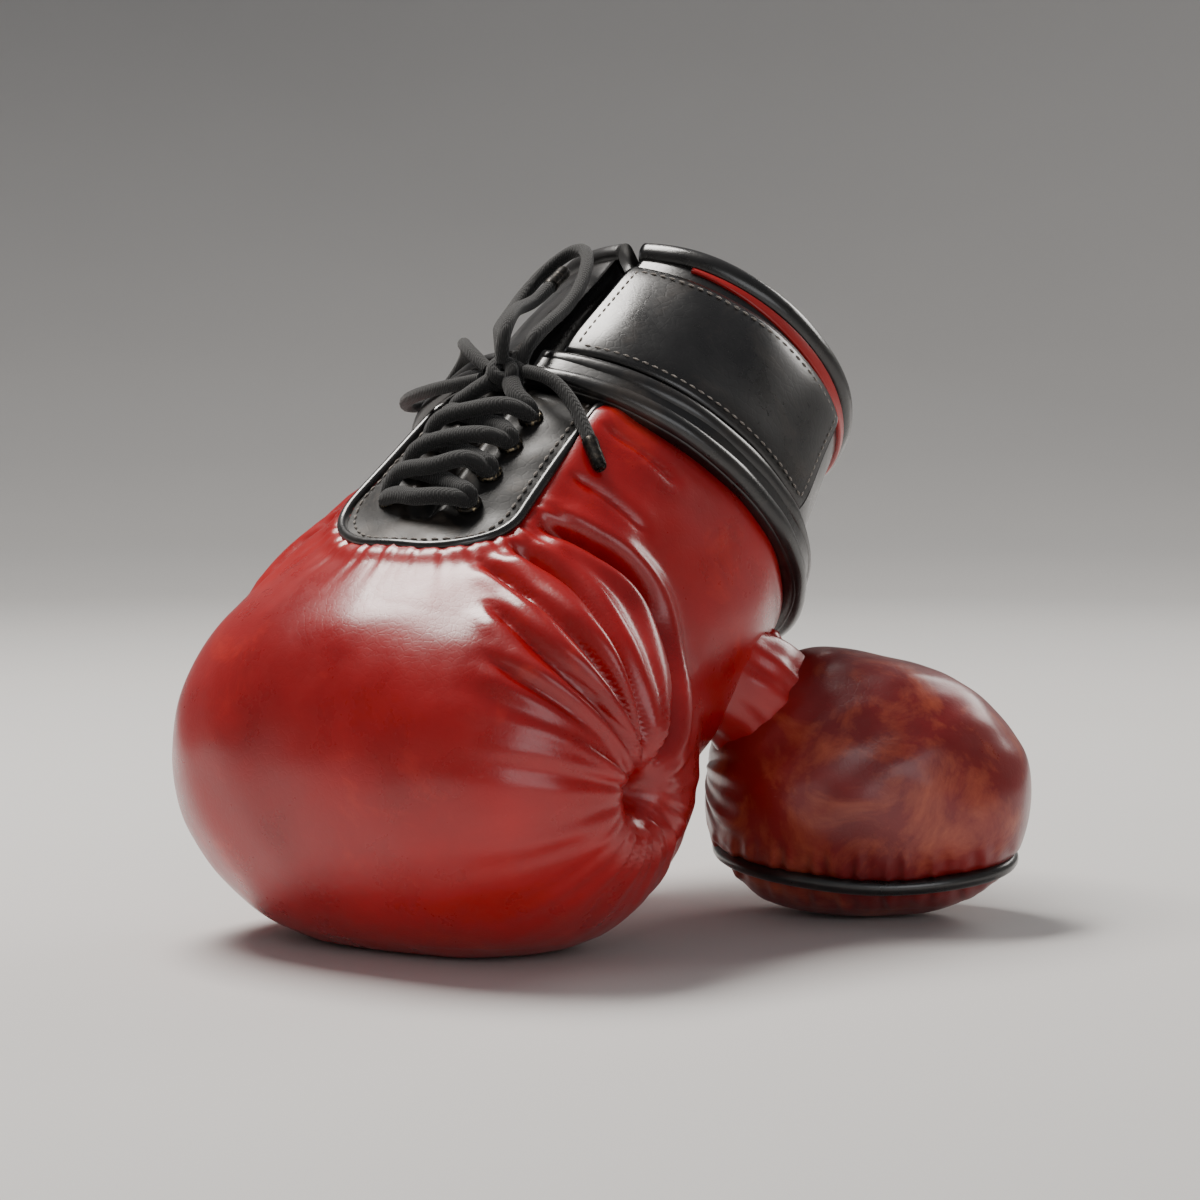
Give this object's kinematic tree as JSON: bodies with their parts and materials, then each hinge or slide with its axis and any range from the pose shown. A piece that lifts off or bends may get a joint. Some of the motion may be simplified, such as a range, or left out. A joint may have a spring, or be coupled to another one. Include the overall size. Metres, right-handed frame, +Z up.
{
  "type": "boxing glove",
  "caption": "Lace-up boxing glove lying on its knuckles and splayed thumb, with padded cuff, tied lace and a wrist strap that peels.",
  "frame": {"origin": "centre of the flat resting foot under the knuckles", "axes": "+X along the knuckle roll to the thumb side, +Y from the knuckles to the wrist, +Z up"},
  "size_m": [0.2261, 0.2519, 0.2243],
  "materials": {
    "red_leather": "satin",
    "black_leather": "glossy",
    "foam": "matte",
    "lining": "matte",
    "lace": "matte",
    "eyelet_metal": "worn black lacquer",
    "aglet": "glossy",
    "hook_and_loop": "matte"
  },
  "bodies": {
    "glove": {"back_leather": "red_leather", "palm_leather": "red_leather", "knuckle_foam_outer": "foam", "knuckle_foam_inner": "foam", "wrist_padding": "foam", "palm_padding": "foam", "finger_lining": "lining", "hand_lining": "lining", "grip_bar": "foam", "lace_panel": "black_leather", "tongue": "black_leather", "eyelets": "eyelet_metal", "lace_crossings": "lace", "lace_knot": "lace", "lace_loop_large": "lace", "lace_loop_small": "lace", "lace_end_up": "lace", "lace_end_side": "lace", "aglets": "aglet", "cuff_leather": "black_leather", "cuff_foam": "foam", "cuff_lining": "lining", "rim_binding": "black_leather", "red_trim": "red_leather", "cuff_band": "black_leather", "cuff_piping": "black_leather", "strap_loop_patch": "hook_and_loop", "thumb_web": "red_leather"},
    "wrist_strap_body": {"wrist_strap": "black_leather", "strap_hook_patch": "hook_and_loop"},
    "thumb": {"thumb_upper_leather": "red_leather", "thumb_lower_leather": "red_leather", "thumb_lining": "lining", "thumb_foam": "foam", "thumb_root": "red_leather", "thumb_piping": "black_leather"}
  },
  "joints": [
    {"name": "thumb_swing", "type": "hinge", "parent": "glove", "child": "thumb", "pos_m": [0.05849, 0.08825, 0.07698], "axis": [0, -0.788, -0.6157], "range_deg": [-5, 40]},
    {"name": "strap_peel", "type": "hinge", "parent": "glove", "child": "wrist_strap_body", "pos_m": [0.06113, 0.12563, 0.14447], "axis": [0, 0.788, 0.6157], "range_deg": [0, 75]}
  ]
}
